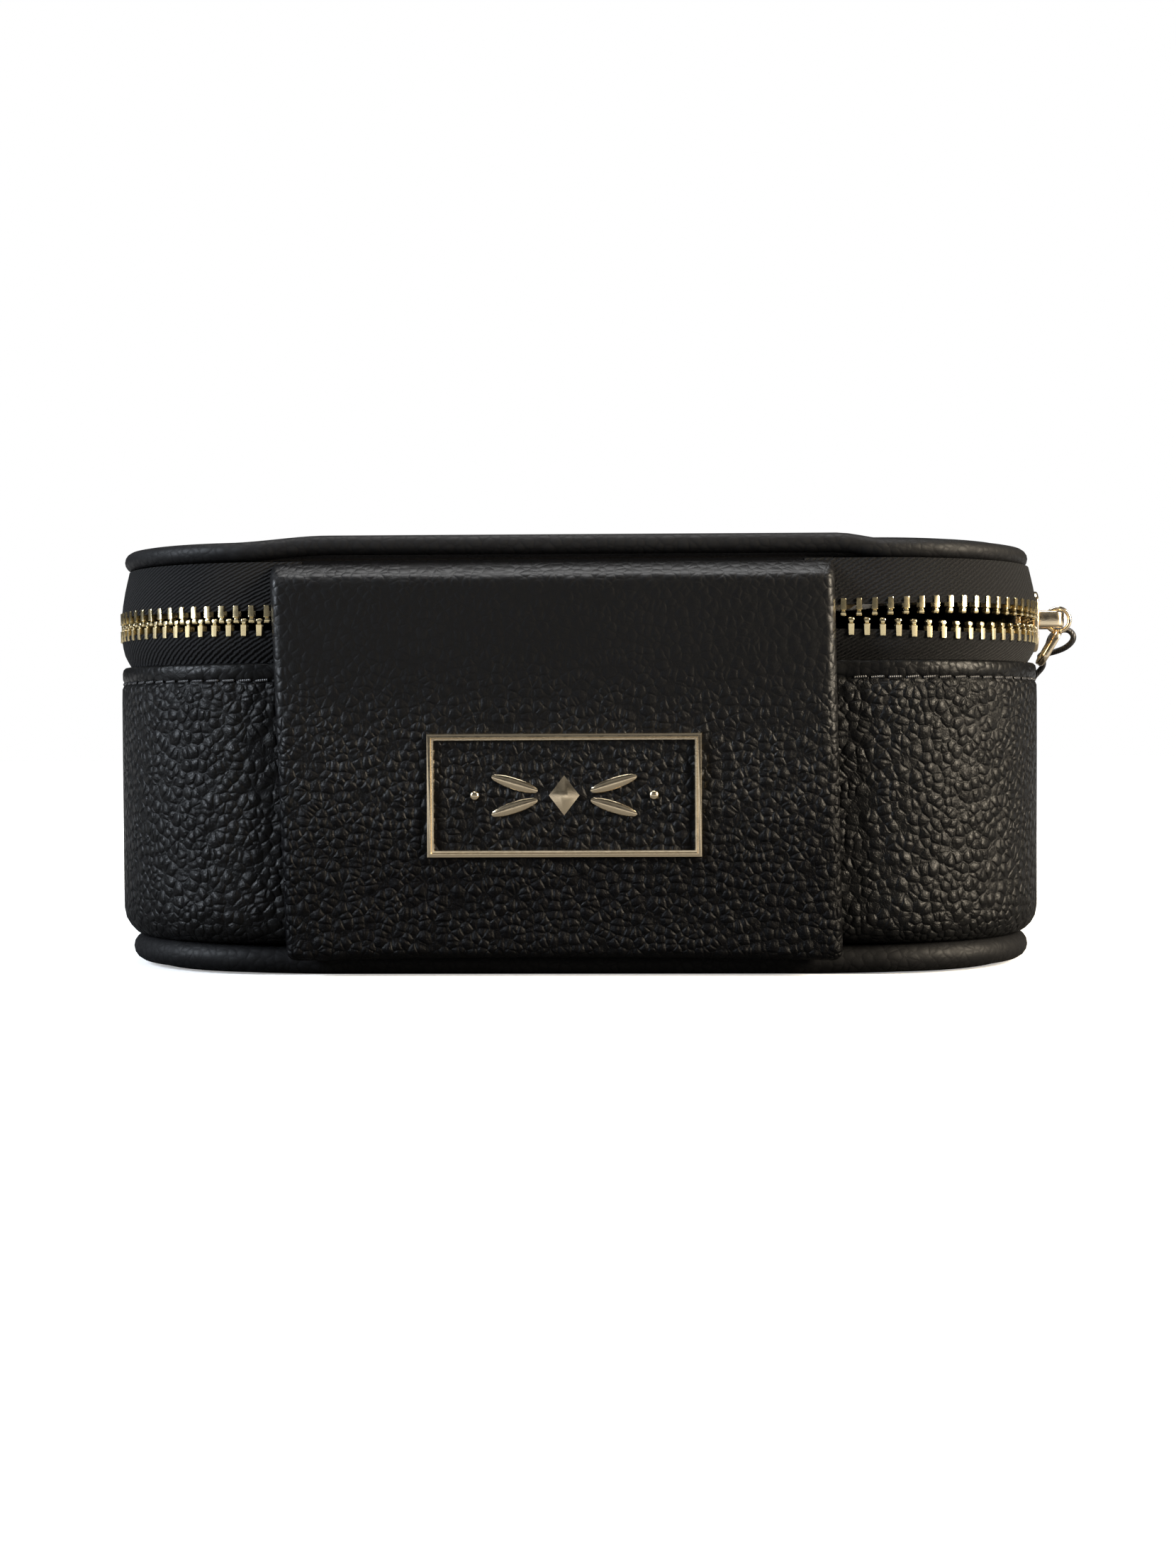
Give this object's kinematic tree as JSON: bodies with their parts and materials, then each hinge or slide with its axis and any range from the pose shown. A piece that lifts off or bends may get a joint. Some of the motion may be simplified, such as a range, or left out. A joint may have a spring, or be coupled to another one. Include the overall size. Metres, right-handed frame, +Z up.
{
  "type": "zipped jewellery case",
  "caption": "Rounded black leather jewellery case with piped edges, a zip round three sides, a leather hinge panel with a metal frame, and a padded inside.",
  "frame": {"origin": "centre of the underside, on the surface that the case rests on", "axes": "+Z up, +X to the right seen from the hinge panel, -Y towards the hinge panel and the metal frame on it, +Y the opening side"},
  "size_m": [0.1789, 0.1198, 0.0759],
  "materials": {
    "case_leather": "black pebbled leather, soft gloss",
    "board": "raw fibreboard, hidden under the leather and lining",
    "foam": "soft padding foam",
    "velvet_lining": "short-pile black velvet",
    "zip_cloth": "black twill tape",
    "zip_metal": "pale rose-gold plated teeth",
    "gold_metal": "polished pale gold plate",
    "mirror_glass": "silvered glass",
    "cord": "thin waxed black cord"
  },
  "bodies": {
    "base": {"bottom_leather": "case_leather", "bottom_board": "board", "bottom_piping": "case_leather", "wall_leather": "case_leather", "wall_hem": "case_leather", "wall_board": "board", "floor_padding": "foam", "floor_lining": "velvet_lining", "wall_lining": "velvet_lining", "cross_divider": "velvet_lining", "long_divider": "velvet_lining", "ring_roll_block": "velvet_lining", "ring_rolls": "velvet_lining", "zip_tape_lower": "zip_cloth", "zip_teeth_lower": "zip_metal", "zip_teeth_lower_run": "zip_metal", "hinge_panel_lower": "case_leather", "hinge_lining_lower": "velvet_lining", "plaque_frame": "gold_metal", "plaque_ornament": "gold_metal"},
    "lid": {"lid_board": "board", "lid_foam": "foam", "lid_leather": "case_leather", "lid_piping": "case_leather", "lid_lining_padding": "foam", "lid_lining": "velvet_lining", "lid_mirror": "mirror_glass", "mirror_frame": "gold_metal", "zip_tape_upper": "zip_cloth", "zip_teeth_upper": "zip_metal", "zip_teeth_upper_run": "zip_metal", "hinge_panel_upper": "case_leather", "hinge_lining_upper": "velvet_lining"},
    "slider": {"slider_outer_plate": "gold_metal", "slider_inner_plate": "gold_metal", "slider_post": "gold_metal", "slider_crown": "gold_metal"},
    "pull": {"pull_ring": "gold_metal", "pull_tab": "gold_metal", "pull_cord": "cord"}
  },
  "joints": [
    {"name": "lid_hinge", "type": "hinge", "parent": "base", "child": "lid", "pos_m": [0, -0.0593, 0.061], "axis": [1, 0, 0], "range_deg": [0, 110]},
    {"name": "zip_slider", "type": "slide", "parent": "base", "child": "slider", "axis": [0, 1, 0], "range_m": [0, 0.034], "deforming": ["zip_teeth_lower_run", "zip_teeth_upper_run"]},
    {"name": "pull_swing", "type": "hinge", "parent": "slider", "child": "pull", "pos_m": [0.0903, -0.015, 0.0624], "axis": [0, -1, 0], "range_deg": [0, 105]}
  ]
}
